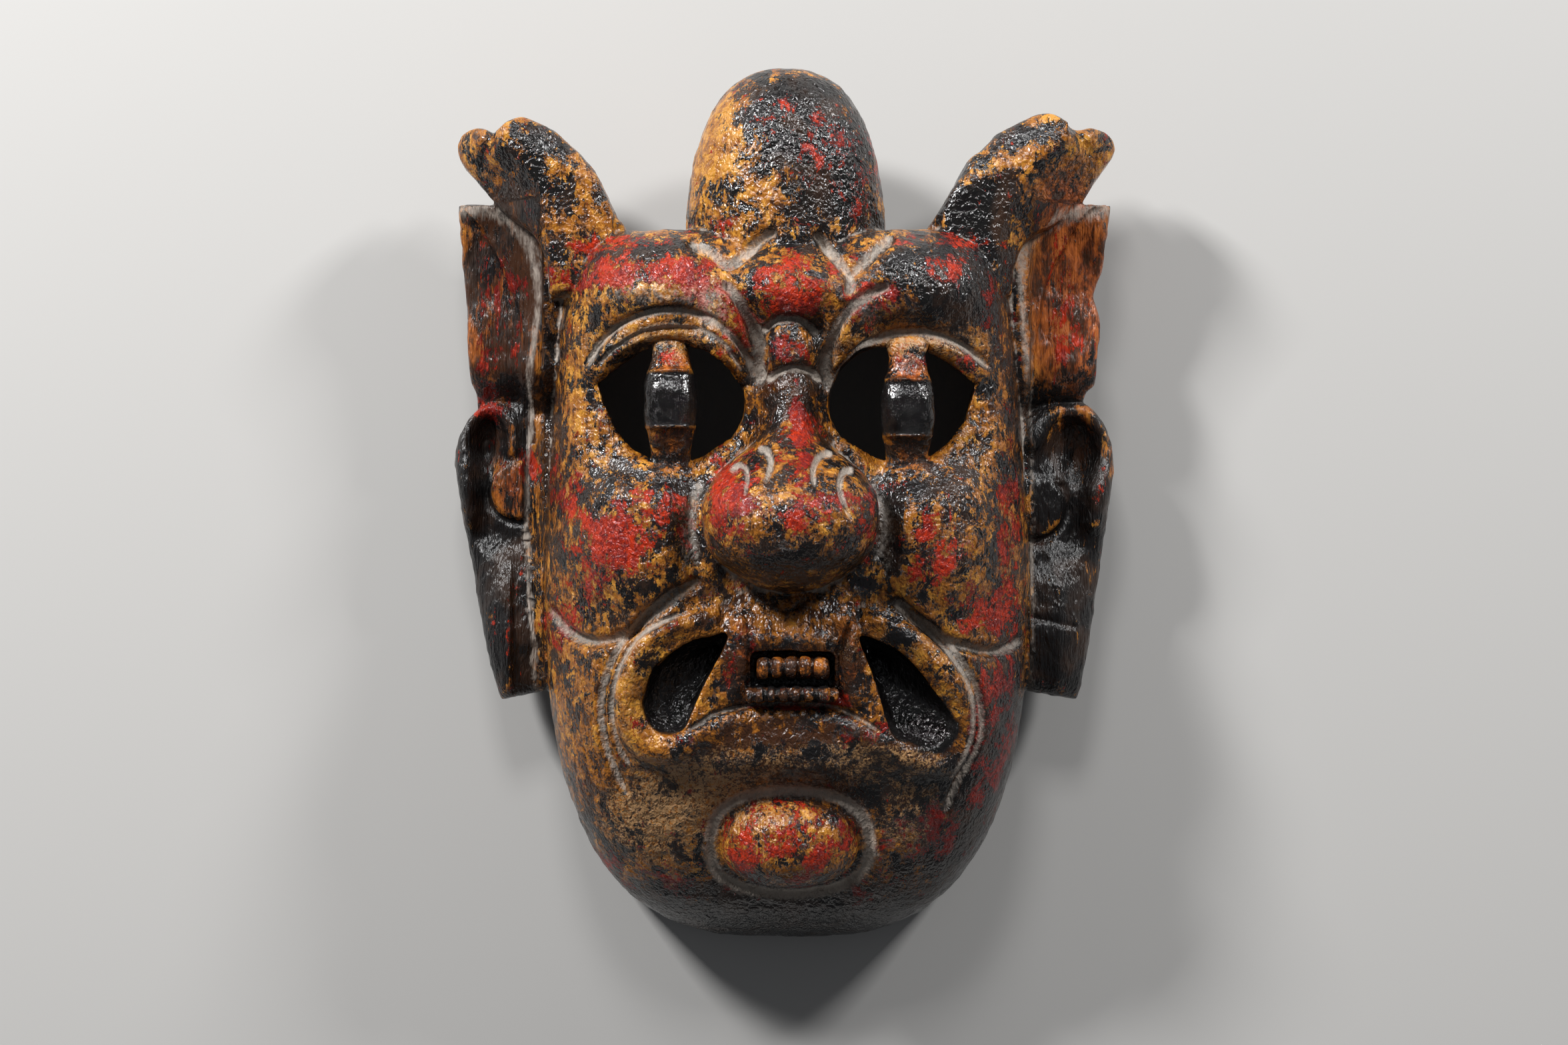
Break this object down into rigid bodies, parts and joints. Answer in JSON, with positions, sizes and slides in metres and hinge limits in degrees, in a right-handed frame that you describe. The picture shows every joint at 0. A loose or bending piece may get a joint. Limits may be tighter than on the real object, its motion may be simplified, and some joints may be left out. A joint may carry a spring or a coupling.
{
  "type": "tibetan cham mask",
  "caption": "Carved wooden wrathful dance mask with a bulb nose, pierced eyes and mouth corners, horns, top-knot and long ears, hollow behind for the wearer's face.",
  "frame": {"origin": "under the middle of the outline, in the plane of the flat back rim that the mask lies on", "axes": "+X to the right of a viewer who faces the mask, +Y from the chin to the crown, +Z out of the hollow through the nose"},
  "size_m": [0.306, 0.4, 0.15],
  "materials": {
    "lacquered_wood": "red, ochre and black lacquer over carved wood, worn and flaked in layers, glossy where rubbed and dusty in the grooves"
  },
  "bodies": {
    "root": {"mask": "lacquered_wood"}
  },
  "joints": []
}
